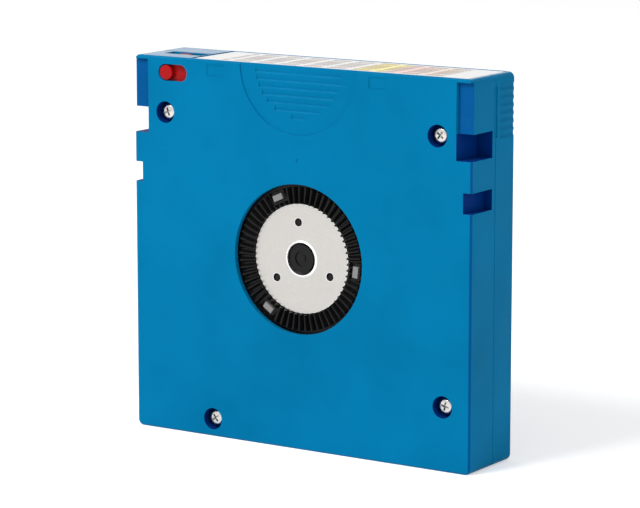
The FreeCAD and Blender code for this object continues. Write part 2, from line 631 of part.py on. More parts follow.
def reel_hub():
    """Hub with its drive teeth, one flange and three sectors of lock teeth."""
    hub = disc(FLANGE_R, FLANGE_Y, FLANGE_IN_Y)
    web = disc(HUB_R, FLANGE_Y, TOP_FLANGE_Y)
    gear_ring = ring(PLATE_R + PLATE_FIT, RING_R, GEAR_ROOT_Y, FLANGE_IN_Y)
    hub = hub.fuse([web, gear_ring])
    hub = hub.cut([disc(HUB_IN_R, WEB_IN_Y, TOP_FLANGE_Y + 1),
                   disc(PLATE_R + PLATE_FIT, FLANGE_Y - 1, PLATE_BACK_Y)])
    centre = disc(CENTRE_R, PLATE_Y + 0.1, PLATE_BACK_Y + 0.1)
    centre = centre.cut(disc(CENTRE_PIT_R, PLATE_Y, PLATE_Y + 0.1 + CENTRE_PIT_DROP))
    centre = centre.fuse(disc(CENTRE_PIT_R / 2, PLATE_Y + 0.25, PLATE_BACK_Y + 0.1))
    stake = disc(STAKE_R, PLATE_Y + 0.2, PLATE_BACK_Y + 0.1, 0, REEL_Z + STAKE_PCR)
    stakes = [turned(stake, STAKE_ANGLE + i * 360.0 / STAKES) for i in range(STAKES)]
    drive_angles = [i * GEAR_PITCH for i in range(GEAR_TEETH)]
    teeth = face_teeth(drive_angles, GEAR_PITCH, GEAR_IN_R, GEAR_OUT_R, GEAR_ROOT_Y, GEAR_TIP_Y)
    sectors = []
    reach = (LOCK_SECTOR_TEETH / 2) * LOCK_PITCH
    for i in range(ARMS):
        middle = LOCK_ANGLE + i * 360.0 / ARMS
        sector = ring(LOCK_IN_R - LOCK_SHELF, LOCK_OUT_R + LOCK_SHELF, WEB_IN_Y - 0.1, LOCK_ROOT_Y)
        a, b = math.radians(-reach), math.radians(reach)
        far = 2 * LOCK_OUT_R
        wedge = prism_y([(0, REEL_Z), (far * math.sin(a), REEL_Z + far * math.cos(a)),
                         (far * math.sin(b), REEL_Z + far * math.cos(b))], WEB_IN_Y - 0.1, LOCK_ROOT_Y)
        sectors.append(turned(sector.common(wedge), middle))
        first = -(LOCK_SECTOR_TEETH - 1) / 2
        angles = [middle + (first + k) * LOCK_PITCH for k in range(LOCK_SECTOR_TEETH)]
        sectors += face_teeth(angles, LOCK_PITCH, LOCK_IN_R, LOCK_OUT_R, LOCK_ROOT_Y, LOCK_TIP_Y)
    hub = hub.fuse([centre] + stakes + teeth + sectors)
    cuts = []
    room = LEG_T / 2 + POCKET_ROOM
    for i in range(ARMS):
        angle = ARM_ANGLE + i * 360.0 / ARMS
        pocket = leg_box(POCKET_W, (LEG_R - room, LEG_R + room), (GEAR_TIP_Y - 1, GEAR_ROOT_Y))
        hole = leg_box(LEG_W, (LEG_R - LEG_T / 2, LEG_R + LEG_T / 2), (GEAR_TIP_Y - 1, WEB_IN_Y + 1),
                       LEG_CLEARANCE)
        cuts += [turned(pocket, angle), turned(hole, angle)]
    return hub.cut(cuts).removeSplitter()


def hub_plate():
    """Steel disc that the drive's magnet pulls, staked to the hub."""
    plate = disc(PLATE_R, PLATE_Y, PLATE_BACK_Y)
    lip = Part.makeCone(PLATE_BORE_R + PLATE_LIP_W / 2, PLATE_BORE_R + PLATE_LIP_W, PLATE_LIP_H,
                        V(0, PLATE_Y - PLATE_LIP_H, REEL_Z), V(0, 1, 0))
    plate = plate.fuse(lip).cut(disc(PLATE_BORE_R, PLATE_Y - 1, PLATE_BACK_Y + 1))
    hole = disc(STAKE_HOLE_R, PLATE_Y - 1, PLATE_BACK_Y + 1, 0, REEL_Z + STAKE_PCR)
    holes = [turned(hole, STAKE_ANGLE + i * 360.0 / STAKES) for i in range(STAKES)]
    return plate.cut(holes).removeSplitter()


def reel_flange():
    """Loose flange, welded on the end of the hub."""
    return ring(HUB_IN_R, FLANGE_R, TOP_FLANGE_Y, TOP_FLANGE_Y + FLANGE_T)


def tape_pack():
    return ring(HUB_R + HUB_FIT, TAPE_R, TAPE_Y, TAPE_Y + TAPE_W)


# ---- brake ----------------------------------------------------------------
def release_plate():
    """Three-armed plate whose legs end among the drive teeth."""
    plate = disc(RELEASE_R, WEB_IN_Y, RELEASE_BACK_Y)
    pip = disc(PIP_R, RELEASE_BACK_Y, RELEASE_BACK_Y + PIP_H)
    arms = []
    for i in range(ARMS):
        arm = box((-ARM_W / 2, ARM_W / 2), (WEB_IN_Y, RELEASE_BACK_Y), (REEL_Z, REEL_Z + LEG_R + LEG_T / 2))
        leg = leg_box(LEG_W, (LEG_R - LEG_T / 2, LEG_R + LEG_T / 2),
                      (HUB_Y + LEG_END_DEPTH, WEB_IN_Y))
        arms.append(turned(arm.fuse(leg), ARM_ANGLE + i * 360.0 / ARMS))
    return plate.fuse([pip] + arms).removeSplitter()


def brake_button():
    """Toothed disc on a socket that slides on the cross post."""
    body = disc(BRAKE_R, BRAKE_Y, BRAKE_BACK_Y)
    socket = disc(SOCKET_R, BRAKE_BACK_Y, SOCKET_TOP_Y)
    boss = disc(PIP_R + 0.6, RELEASE_BACK_Y + PIP_H + PIP_GAP, BRAKE_Y)
    angles = [LOCK_ANGLE + (k + 0.5) * LOCK_PITCH for k in range(LOCK_TEETH)]
    teeth = face_teeth(angles, LOCK_PITCH, LOCK_IN_R, LOCK_OUT_R, BRAKE_Y, LOCK_ROOT_Y + LOCK_RUN)
    body = body.fuse([socket, boss] + teeth)
    y = (CROSS_END_Y - BRAKE_LIFT - CROSS_STOP, SOCKET_TOP_Y + 1)
    long = CROSS_HALF + CROSS_CLEARANCE
    short = CROSS_W / 2 + CROSS_CLEARANCE
    flat = box((-long, long), y, (REEL_Z - short, REEL_Z + short))
    upright = box((-short, short), y, (REEL_Z - long, REEL_Z + long))
    return body.cut(flat.fuse(upright))


def brake_spring():
    spring = coil(BRAKE_SPRING_R, BRAKE_WIRE_R, BRAKE_TURNS, PLAIN_FLOOR_Y - BRAKE_BACK_Y)
    return spun(spring, V(0, BRAKE_BACK_Y, REEL_Z), axis_y=True)


# ---- leader pin -----------------------------------------------------------
def leader_pin():
    """Pin with a collar at each end, along Y."""
    pin = disc(PIN_R, -PIN_END_Y, PIN_END_Y, PIN_X, PIN_Z)
    collars = []
    for y in (-PIN_END_Y, PIN_END_Y - PIN_COLLAR_T):
        collars.append(disc(PIN_COLLAR_R, y, y + PIN_COLLAR_T, PIN_X, PIN_Z))
    return pin.fuse(collars).removeSplitter()


def tangent_normal():
    """Unit vector from the pin's axis to the leader, square to the leader."""
    dx, dz = -PIN_X, REEL_Z - PIN_Z
    reach = TAPE_R + PACK_GAP - (PIN_R + LEADER_FIT)
    angle = math.atan2(dz, dx) + math.acos(-reach / math.hypot(dx, dz))
    return math.cos(angle), math.sin(angle)


def tape_leader():
    """End of the tape, from its loop round the pin to the pack."""
    nx, nz = tangent_normal()
    r_in = PIN_R + LEADER_FIT
    loop = ring(r_in, r_in + LEADER_T, TAPE_Y, TAPE_Y + TAPE_W, PIN_X, PIN_Z)
    pack_r = TAPE_R + PACK_GAP
    near = (PIN_X + r_in * nx, PIN_Z + r_in * nz)
    far = (pack_r * nx, REEL_Z + pack_r * nz)
    run = prism_y([near, (near[0] + LEADER_T * nx, near[1] + LEADER_T * nz),
                   (far[0] + LEADER_T * nx, far[1] + LEADER_T * nz), far], TAPE_Y, TAPE_Y + TAPE_W)
    return loop.fuse(run).removeSplitter()


def tape_clamp():
    """C-shaped clip that grips the tape round the pin."""
    r_in = PIN_R + LEADER_FIT + LEADER_T + CLAMP_FIT
    r_out = r_in + CLAMP_T
    clip = ring(r_in, r_out, TAPE_Y, TAPE_Y + TAPE_W, PIN_X, PIN_Z)
    mouth = box((PIN_X - r_out - 1, PIN_X - PIN_R / 2), (TAPE_Y - 1, TAPE_Y + TAPE_W + 1),
                (PIN_Z - PIN_R / 2, PIN_Z + r_out + 1))
    return clip.cut(mouth)


def pin_spring():
    """Bent steel strip whose two arms bear on the pin's collars."""
    back = PIN_X + CLIP_BACK
    end = PIN_END_Y - PIN_END_GAP
    z = (PIN_Z - CLIP_W / 2, PIN_Z + CLIP_W / 2)
    strip = box((back - CLIP_T / 2, back + CLIP_T / 2), (-end, end), z)
    arm_z = PIN_Z + PIN_COLLAR_R + SEAT_FIT
    hook_x, hook_z = PIN_X - CLIP_HOOK[0], PIN_Z + CLIP_HOOK[1]
    arms = []
    for y in (-end, end - CLIP_ARM_W):
        arm = prism_y([(back + CLIP_T / 2, PIN_Z), (back + CLIP_T / 2, arm_z + CLIP_T),
                       (PIN_X - CLIP_T, arm_z + CLIP_T), (hook_x, hook_z + CLIP_T),
                       (hook_x, hook_z), (PIN_X - CLIP_T, arm_z),
                       (back - CLIP_T / 2, arm_z), (back - CLIP_T / 2, PIN_Z)], y, y + CLIP_ARM_W)
        arms.append(arm)
    return strip.fuse(arms).removeSplitter()


# ---- door -----------------------------------------------------------------
def door():
    """Sliding plate with a lug for its spring."""
    half = PLAIN_FLOOR_Y - DOOR_GAP
    z = (SIDE_WALL + DOOR_GAP, DOOR_TOP_Z)
    plate = box((DOOR_X, DOOR_X + DOOR_T), (-half, half), z)
    lug = box((DOOR_X, LUG_X), (DOOR_SPRING_Y - LUG_HALF, DOOR_SPRING_Y + LUG_HALF),
              (DOOR_TOP_Z - LUG_H, DOOR_TOP_Z))
    return plate.fuse(lug).removeSplitter()


def door_spring():
    spring = coil(DOOR_SPRING_R, DOOR_WIRE_R, DOOR_TURNS, DOOR_STOP_Z - DOOR_TOP_Z)
    return spun(spring, V(DOOR_SPRING_X, DOOR_SPRING_Y, DOOR_TOP_Z))


# ---- write-protect slider -------------------------------------------------
def write_protect_slider():
    """Slider with a round flag behind the window and a finger tab."""
    y = (HUB_FLOOR_Y + SLIDER_GAP, HUB_FLOOR_Y + SLIDER_GAP + SLIDER_T)
    plate = box(SLIDER_X, y, SLIDER_Z)
    post = disc(POST_R, HUB_Y + POST_DEPTH, y[0] + 0.1, POST_X, WINDOW_Z)
    tab_x = (POST_X - TAB_W / 2, POST_X + TAB_W / 2)
    arm = box(tab_x, (y[0], TAB_Y[1]), (TAB_ROOT_Z, SLIDER_Z[1]))
    tab = box(tab_x, TAB_Y, (TAB_ROOT_Z, CASE_H - TAB_DEPTH))
    return plate.fuse([post, arm, tab]).removeSplitter()


# ---- memory board ---------------------------------------------------------
def memory_board():
    """Small circuit board that lies at 45 degrees in a leading corner."""
    length = BOARD_SLOPE * math.sqrt(2) - 2 * BOARD_MARGIN
    board = box(BOARD_X, (0, length), (0, BOARD_T))
    board.rotate(V(0, 0, 0), V(1, 0, 0), -45)
    step = BOARD_MARGIN / math.sqrt(2)
    board.translate(V(0, HUB_FLOOR_Y + step, SIDE_WALL + BOARD_SLOPE - step))
    return board


def memory_chip():
    middle = (BOARD_X[0] + BOARD_X[1]) / 2
    length = BOARD_SLOPE * math.sqrt(2) - 2 * BOARD_MARGIN
    chip = box((middle - CHIP / 2, middle + CHIP / 2), ((length - CHIP) / 2, (length + CHIP) / 2),
               (BOARD_T, BOARD_T + CHIP_T))
    chip.rotate(V(0, 0, 0), V(1, 0, 0), -45)
    step = BOARD_MARGIN / math.sqrt(2)
    chip.translate(V(0, HUB_FLOOR_Y + step, SIDE_WALL + BOARD_SLOPE - step))
    return chip


def save(name, shape):
    """Write one named piece, which has to be one valid solid."""
    if len(shape.Solids) != 1 or not shape.isValid():
        raise ValueError(name + " isn't one valid solid")
    solid = shape.Solids[0]
    solid.exportStep("parts/" + name + ".step")
    print("%-22s %9.1f mm3" % (name, solid.Volume))


def main():
    os.makedirs("parts", exist_ok=True)
    save("hub_shell", hub_shell())
    save("plain_shell", plain_shell())
    for number, (x, z) in enumerate(SCREWS_XZ, 1):
        save("case_screw_%d" % number, case_screw(x, z))
    save("label", label())
    save("reel_hub", reel_hub())
    save("hub_plate", hub_plate())
    save("reel_flange", reel_flange())
    save("tape_pack", tape_pack())
    save("release_plate", release_plate())
    save("brake_button", brake_button())
    save("brake_spring", brake_spring())
    save("leader_pin", leader_pin())
    save("tape_leader", tape_leader())
    save("tape_clamp", tape_clamp())
    save("pin_spring", pin_spring())
    save("door", door())
    save("door_spring", door_spring())
    save("write_protect_slider", write_protect_slider())
    save("memory_board", memory_board())
    save("memory_chip", memory_chip())


main()
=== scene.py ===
"""Finishes, screws, springs, label and studio for a half-inch data tape cartridge."""
import math
import random

import bmesh
import bpy
from mathutils import Matrix, Vector
from mathutils.bvhtree import BVHTree
from mathutils.geometry import intersect_line_line_2d
from mathutils.kdtree import KDTree


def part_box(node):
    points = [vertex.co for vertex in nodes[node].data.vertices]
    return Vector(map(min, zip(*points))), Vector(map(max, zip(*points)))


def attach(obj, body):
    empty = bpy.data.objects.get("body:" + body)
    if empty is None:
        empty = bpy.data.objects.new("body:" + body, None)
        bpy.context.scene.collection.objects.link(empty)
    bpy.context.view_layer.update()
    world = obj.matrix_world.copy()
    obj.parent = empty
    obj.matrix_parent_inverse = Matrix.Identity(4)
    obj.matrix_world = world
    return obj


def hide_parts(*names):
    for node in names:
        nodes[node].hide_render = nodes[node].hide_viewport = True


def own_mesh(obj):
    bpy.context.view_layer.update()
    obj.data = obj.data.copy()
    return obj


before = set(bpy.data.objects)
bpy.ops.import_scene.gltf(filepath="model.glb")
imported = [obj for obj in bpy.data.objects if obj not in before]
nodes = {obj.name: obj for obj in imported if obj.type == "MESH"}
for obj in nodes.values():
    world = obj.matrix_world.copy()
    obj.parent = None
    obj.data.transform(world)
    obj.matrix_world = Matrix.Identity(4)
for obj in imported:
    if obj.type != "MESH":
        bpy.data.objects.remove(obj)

MM = 0.001
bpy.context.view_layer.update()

SHELL_EDGE = 0.12         # edge breaks, in millimetres
PIN_EDGE = 0.10
SMALL_EDGE = 0.06
FINE_EDGE = 0.04
SHARP = 30.0              # degrees from which an edge is broken and shaded as an edge
SAME_PLACE = 0.002        # corners closer than this are one, in millimetres
SAME_PLANE = 0.5          # faces closer than this are one, in degrees
ROUNDING_ROOM = 2.05      # clear face beside a rounded edge, as a share of the rounding
ROOM_STEP = 16            # longest step between two looks for that room, as a share of it
ROOM_GAP = 0.02           # gap over which a look misses the face, as the same share
FLAT, CURVED = 0.9999, 0.97         # how closely that face keeps its direction
THROWN = 0.5              # distance off the surface that tells a failed corner, as a share of the rounding
FOLDED = 0.5              # overlap in one face that tells one too, as a share of the rounding squared
BEVEL_STRIP = "bevel_strip"   # face attribute on the broken edges, which carry wear, painted highlight and painted glint
CASE_BLUE = (0.0, 0.170, 0.360)
# darker blue of painted shade for the polished strips and upright corner chamfers
STRIP_SHADE_BLUE = (0.0, 0.088, 0.285)
# near-navy blue of painted shade for the insides of the notches and screw holes
RECESS_SHADE_BLUE = (0.0, 0.030, 0.190)
FLAG_RED = (0.38, 0.004, 0.006)
REEL_BLACK = (0.005, 0.005, 0.0055)
LABEL_WHITE = (0.86, 0.86, 0.85)
LABEL_INK = (0.22, 0.135, 0.10)
DUST_GREY = (0.45, 0.43, 0.40)


# ---- node helpers ---------------------------------------------------------
def add(tree, kind, inputs=None, **settings):
    """A shader node; an input takes a value or another node's output."""
    node = tree.nodes.new(kind)
    for key, value in settings.items():
        setattr(node, key, value)
    for key, value in (inputs or {}).items():
        if isinstance(value, bpy.types.NodeSocket):
            tree.links.new(value, node.inputs[key])
        else:
            node.inputs[key].default_value = value
    return node


def rgba(colour):
    return (*colour, 1.0)


def maths(tree, operation, a, b=0.0, clamp=False):
    return add(tree, "ShaderNodeMath", {0: a, 1: b}, operation=operation, use_clamp=clamp).outputs[0]


def mixed(tree, share, a, b):
    """Colour a with colour b over it by a share."""
    values = {0: share, 6: a if isinstance(a, bpy.types.NodeSocket) else rgba(a),
              7: b if isinstance(b, bpy.types.NodeSocket) else rgba(b)}
    return add(tree, "ShaderNodeMix", values, data_type="RGBA").outputs[2]


def ramp(tree, value, low, high, out_low=0.0, out_high=1.0):
    """A value taken from one range to another, with its ends held."""
    return add(tree, "ShaderNodeMapRange", {0: value, 1: low, 2: high, 3: out_low, 4: out_high},
               clamp=True).outputs[0]


def place(tree):
    return add(tree, "ShaderNodeTexCoord").outputs["Object"]


def noise(tree, size, detail, where=None, roughness=0.5):
    """Noise whose features are about size across, in millimetres."""
    return add(tree, "ShaderNodeTexNoise",
               {"Vector": where or place(tree), "Scale": 1.0 / (size * MM), "Detail": detail,
                "Roughness": roughness}).outputs["Fac"]


def broken_edge_faces(tree):
    """1 on the broken edges, 0 elsewhere."""
    return add(tree, "ShaderNodeAttribute", attribute_name=BEVEL_STRIP).outputs["Fac"]


def round_axis(tree, centre):
    """Distance from an axis along Y, and the angle round it."""
    away = tuple(-c for c in centre)
    centred = add(tree, "ShaderNodeMapping", {"Vector": place(tree), "Location": away}).outputs[0]
    split = add(tree, "ShaderNodeSeparateXYZ", {0: centred}).outputs
    flat = add(tree, "ShaderNodeCombineXYZ", {"X": split["X"], "Z": split["Z"]}).outputs[0]
    radius = add(tree, "ShaderNodeVectorMath", {0: flat}, operation="LENGTH").outputs["Value"]
    return radius, maths(tree, "ARCTAN2", split["X"], split["Z"])


def along_radius(tree, radius):
    return add(tree, "ShaderNodeCombineXYZ", {"X": radius}).outputs[0]


def effect(name, inputs, outputs):
    """An empty node group with named value inputs and outputs."""
    tree = bpy.data.node_groups.new(name, "ShaderNodeTree")
    for label, value in inputs:
        socket = tree.interface.new_socket(label, in_out="INPUT", socket_type="NodeSocketFloat")
        socket.default_value = value
    for label in outputs:
        kind = "NodeSocketVector" if label == "Normal" else "NodeSocketFloat"
        tree.interface.new_socket(label, in_out="OUTPUT", socket_type=kind)
    return tree, tree.nodes.new("NodeGroupInput").outputs, tree.nodes.new("NodeGroupOutput").inputs


# ---- shared effects -------------------------------------------------------
def mould_texture_group():
    """Spark-eroded mould texture: a fine height, and slow shade changes."""
    tree, given, out = effect("mould_texture", [("Grain mm", 0.25)], ["Height", "Cloud"])
    scale = maths(tree, "DIVIDE", 1.0 / MM, given["Grain mm"])
    where = place(tree)
    fine = add(tree, "ShaderNodeTexNoise",
               {"Vector": where, "Scale": scale, "Detail": 3.0, "Roughness": 0.65})
    cells = add(tree, "ShaderNodeTexVoronoi", {"Vector": where, "Scale": scale}, feature="SMOOTH_F1")
    height = maths(tree, "MULTIPLY_ADD", cells.outputs["Distance"], 0.5)
    tree.links.new(fine.outputs["Fac"], height.node.inputs[2])
    tree.links.new(height, out["Height"])
    tree.links.new(noise(tree, size=22.0, detail=3.0, where=where), out["Cloud"])
    return tree


def edge_wear_and_highlight_group():
    """Mask of rubbed edges, broken up by noise, which lightens them partly as wear and partly as painted
    highlight.
    """
    tree, given, out = effect("edge_wear_and_highlight", [("Amount", 0.5)], ["Mask"])
    patchy = ramp(tree, noise(tree, size=2.6, detail=4.0), 0.42, 0.62)
    rubbed = maths(tree, "MULTIPLY", broken_edge_faces(tree), patchy)
    tree.links.new(maths(tree, "MULTIPLY", rubbed, given["Amount"]), out["Mask"])
    return tree


def handling_group():
    """Dust on what faces up, smears from fingers, and hairline scratches."""
    tree, given, out = effect("handling", [("Dust", 0.1), ("Scratches", 0.2)], ["Dust", "Smear", "Scratch"])
    where = place(tree)
    facing = add(tree, "ShaderNodeNewGeometry").outputs["Normal"]
    up = add(tree, "ShaderNodeSeparateXYZ", {0: facing}).outputs["Z"]
    specks = ramp(tree, noise(tree, size=0.5, detail=5.0, where=where), 0.48, 0.72)
    settled = maths(tree, "MULTIPLY", ramp(tree, up, 0.2, 1.0), specks)
    tree.links.new(maths(tree, "MULTIPLY", settled, given["Dust"]), out["Dust"])
    smears = noise(tree, size=13.0, detail=4.0, where=where, roughness=0.6)
    tree.links.new(ramp(tree, smears, 0.42, 0.68), out["Smear"])
    lines = []
    for turn, stretch in ((0.5, 30.0), (-0.9, 42.0)):
        spread = add(tree, "ShaderNodeMapping", {"Vector": where, "Rotation": (0.2, turn, 0.3),
                                                 "Scale": (1.0, stretch, stretch)}).outputs[0]
        lines.append(ramp(tree, noise(tree, size=16.0, detail=2.0, where=spread), 0.735, 0.76))
    either = maths(tree, "MAXIMUM", lines[0], lines[1])
    tree.links.new(maths(tree, "MULTIPLY", either, given["Scratches"]), out["Scratch"])
    return tree


MOULD_TEXTURE = mould_texture_group()
EDGE_WEAR_AND_HIGHLIGHT = edge_wear_and_highlight_group()
HANDLING = handling_group()


def use(tree, group, **values):
    node = tree.nodes.new("ShaderNodeGroup")
    node.node_tree = group
    for key, value in values.items():
        node.inputs[key.replace("_", " ")].default_value = value
    return node.outputs


# ---- materials ------------------------------------------------------------
def material(name, **sockets):
    """A new material: its node tree and its Principled shader with plain values."""
    made = bpy.data.materials.new(name)
    made.use_nodes = True
    shader = made.node_tree.nodes["Principled BSDF"]
    for key, value in sockets.items():
        shader.inputs[key.replace("_", " ")].default_value = value
    return made, made.node_tree, shader


def bumped(tree, shader, height, depth_mm):
    bump = add(tree, "ShaderNodeBump", {"Strength": 1.0, "Distance": depth_mm * MM, "Height": height})
    tree.links.new(bump.outputs["Normal"], shader.inputs["Normal"])


def moulded_plastic(name, colour, roughness, grain, depth, wear, dust=0.08, scratches=0.15, gloss=0.4,
                    shade=0.05):
    """Injection-moulded plastic with a textured face, rubbed edges lightened partly as wear and partly as
    painted highlight, and handling marks.

    grain and depth are the texture's size and height in millimetres, and shade is how far the colour clouds.
    """
    made, tree, shader = material(name, Specular_IOR_Level=gloss)
    texture = use(tree, MOULD_TEXTURE, Grain_mm=grain)
    marks = use(tree, HANDLING, Dust=dust, Scratches=scratches)
    wear_and_highlight = use(tree, EDGE_WEAR_AND_HIGHLIGHT, Amount=wear)
    darker = tuple(c * (1 - 1.6 * shade) for c in colour)
    lighter = tuple(min(c * (1 + 1.6 * shade) + 0.002 * shade, 1.0) for c in colour)
    # pale edge colour: partly real wear, partly a painted highlight along the edges
    pale_wear_and_highlight = tuple(1.3 * c + 0.015 for c in colour)
    body = mixed(tree, ramp(tree, texture["Cloud"], 0.3, 0.7), darker, lighter)
    body = mixed(tree, wear_and_highlight["Mask"], body, pale_wear_and_highlight)
    body = mixed(tree, marks["Scratch"], body, pale_wear_and_highlight)
    body = mixed(tree, marks["Dust"], body, DUST_GREY)
    tree.links.new(body, shader.inputs["Base Color"])
    sheen = maths(tree, "SUBTRACT", roughness, maths(tree, "MULTIPLY", marks["Smear"], 0.10))
    sheen = maths(tree, "SUBTRACT", sheen, maths(tree, "MULTIPLY", wear_and_highlight["Mask"], 0.15), clamp=True)
    dulled = maths(tree, "ADD", sheen, maths(tree, "MULTIPLY", marks["Dust"], 0.4), clamp=True)
    tree.links.new(dulled, shader.inputs["Roughness"])
    bumped(tree, shader, texture["Height"], depth)
    return made


def metal(name, colour, roughness):
    """Plated steel with fine tooling marks and small scratches."""
    made, tree, shader = material(name, Metallic=1.0)
    marks = use(tree, HANDLING, Dust=0.03, Scratches=0.3)
    cloud = noise(tree, size=5.0, detail=4.0)
    fine = noise(tree, size=0.35, detail=3.0)
    darker = tuple(c * 0.90 for c in colour)
    body = mixed(tree, ramp(tree, cloud, 0.3, 0.7), darker, colour)
    body = mixed(tree, marks["Scratch"], body, tuple(min(1.0, c * 1.15) for c in colour))
    body = mixed(tree, marks["Dust"], body, (0.4, 0.39, 0.37))
    tree.links.new(body, shader.inputs["Base Color"])
    spread = maths(tree, "ADD", ramp(tree, fine, 0.3, 0.7, roughness - 0.05, roughness + 0.05),
                   maths(tree, "MULTIPLY", marks["Smear"], 0.06))
    tree.links.new(spread, shader.inputs["Roughness"])
    bumped(tree, shader, fine, 0.002)
    return made


def turned_steel(name, centre, lip_r):
    """Satin plate turned round an axis along Y, with a painted glint on its lip and painted highlights on
    its broken edges.
    """
    made, tree, shader = material(name, Metallic=1.0, Specular_IOR_Level=0.5)
    radius, around = round_axis(tree, centre)
    polar = add(tree, "ShaderNodeCombineXYZ",
                {"X": radius, "Y": maths(tree, "MULTIPLY", around, 0.4 * MM)}).outputs[0]
    lines = noise(tree, size=0.12, detail=3.0, where=polar)
    marks = use(tree, HANDLING, Dust=0.02, Scratches=0.35)
    cloud = noise(tree, size=6.0, detail=3.0)
    body = mixed(tree, ramp(tree, lines, 0.25, 0.75), (0.45, 0.435, 0.415), (0.57, 0.555, 0.53))
    body = mixed(tree, ramp(tree, cloud, 0.35, 0.7, 0.0, 0.35), body, (0.50, 0.485, 0.46))
    body = mixed(tree, marks["Scratch"], body, (0.70, 0.69, 0.68))
    # painted glint: the lip and the broken edges are coloured near white for the light they would reflect
    painted_glint = maths(tree, "MAXIMUM", maths(tree, "LESS_THAN", radius, lip_r * MM), broken_edge_faces(tree))
    body = mixed(tree, painted_glint, body, (0.95, 0.94, 0.93))
    tree.links.new(body, shader.inputs["Base Color"])
    spread = maths(tree, "ADD", ramp(tree, lines, 0.3, 0.7, 0.30, 0.40),
                   maths(tree, "MULTIPLY", marks["Smear"], 0.05))
    tree.links.new(spread, shader.inputs["Roughness"])
    bumped(tree, shader, lines, 0.0015)
    return made


TINTS = ((15.0, 24.5, (0.95, 0.84, 0.30)),      # start and end along X, colour
         (25.0, 32.0, (0.88, 0.62, 0.56)),
         (32.5, 40.0, (0.84, 0.70, 0.60)))
TINT_STRENGTH, INK_STRENGTH = 0.85, 0.88
PRINT_X = (-26.0, 42.0)
PRINT_HALF_WIDTH = 8.2
BLOCK_PITCH, BLOCK_SHARE = 7.4, 0.70
BAR_PITCH, BAR_SHARE = 0.925, 0.52      # share: what is inked of each pitch
ROW_GAP_AT, ROW_GAP_HALF = 5.0, 0.4     # plain lines on both sides of the label's middle


def printed_label(name, middle_y):
    """Matt paper label with an even hatch in blocks, over three plain tints."""
    made, tree, shader = material(name, Specular_IOR_Level=0.35)
    in_mm = add(tree, "ShaderNodeMapping", {"Vector": place(tree), "Scale": (1 / MM,) * 3}).outputs[0]
    split = add(tree, "ShaderNodeSeparateXYZ", {0: in_mm}).outputs
    x, y = split["X"], split["Y"]
    across = maths(tree, "ABSOLUTE", maths(tree, "SUBTRACT", y, middle_y / MM))
    fibre = noise(tree, size=0.18, detail=4.0)
    paper = mixed(tree, ramp(tree, fibre, 0.3, 0.7), tuple(c * 0.95 for c in LABEL_WHITE), LABEL_WHITE)

    def between(value, start, end):
        return maths(tree, "MULTIPLY", maths(tree, "GREATER_THAN", value, start),
                     maths(tree, "LESS_THAN", value, end))

    def stripes(pitch, share):
        return maths(tree, "LESS_THAN", maths(tree, "FRACT", maths(tree, "MULTIPLY", x, 1 / pitch)), share)

    printed = maths(tree, "LESS_THAN", across, PRINT_HALF_WIDTH)
    face = paper
    for start, end, tint in TINTS:
        patch = maths(tree, "MULTIPLY", between(x, start, end), printed)
        face = mixed(tree, maths(tree, "MULTIPLY", patch, TINT_STRENGTH), face, tint)
    blocks = maths(tree, "MULTIPLY", stripes(BLOCK_PITCH, BLOCK_SHARE), stripes(BAR_PITCH, BAR_SHARE))
    field = maths(tree, "MULTIPLY", between(x, *PRINT_X), printed)
    off_gap = maths(tree, "ABSOLUTE", maths(tree, "SUBTRACT", across, ROW_GAP_AT))
    rows = maths(tree, "GREATER_THAN", off_gap, ROW_GAP_HALF)
    hatch = maths(tree, "MULTIPLY", maths(tree, "MULTIPLY", blocks, field), rows)
    face = mixed(tree, maths(tree, "MULTIPLY", hatch, INK_STRENGTH), face, LABEL_INK)
    tree.links.new(face, shader.inputs["Base Color"])
    tree.links.new(ramp(tree, fibre, 0.3, 0.7, 0.42, 0.55), shader.inputs["Roughness"])
    bumped(tree, shader, fibre, 0.004)
    return made


def wound_tape(name, centre):
    """Side of a wound pack: fine rings round the reel's axis, on an axis along Y."""
    made, tree, shader = material(name, Specular_IOR_Level=0.5)
    radius, _ = round_axis(tree, centre)
    rings = noise(tree, size=0.15, detail=4.0, where=along_radius(tree, radius), roughness=0.7)
    bands = noise(tree, size=3.0, detail=2.0, where=along_radius(tree, radius))
    body = mixed(tree, ramp(tree, rings, 0.3, 0.7), (0.012, 0.010, 0.009), (0.035, 0.030, 0.027))
    body = mixed(tree, ramp(tree, bands, 0.45, 0.7, 0.0, 0.5), body, (0.05, 0.044, 0.04))
    tree.links.new(body, shader.inputs["Base Color"])
    tree.links.new(ramp(tree, rings, 0.3, 0.7, 0.22, 0.38), shader.inputs["Roughness"])
    bumped(tree, shader, rings, 0.006)
    return made


def circuit_laminate(name):
    """Glass-epoxy board: a woven green body under a thin gloss coat."""
    made, tree, shader = material(name, Specular_IOR_Level=0.5, Coat_Weight=0.3, Coat_Roughness=0.15)
    where = place(tree)
    weave = add(tree, "ShaderNodeTexWave",
                {"Vector": where, "Scale": 160.0, "Distortion": 0.6}).outputs["Fac"]
    body = mixed(tree, ramp(tree, weave, 0.2, 0.8), (0.010, 0.085, 0.035), (0.018, 0.13, 0.055))
    tree.links.new(body, shader.inputs["Base Color"])
    uneven = noise(tree, size=1.2, detail=3.0, where=where)
    tree.links.new(ramp(tree, uneven, 0.3, 0.7, 0.30, 0.45), shader.inputs["Roughness"])
    bumped(tree, shader, weave, 0.003)
    return made


def middle_of(node_name):
    return [(a + b) / 2 for a, b in zip(*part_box(node_name))]


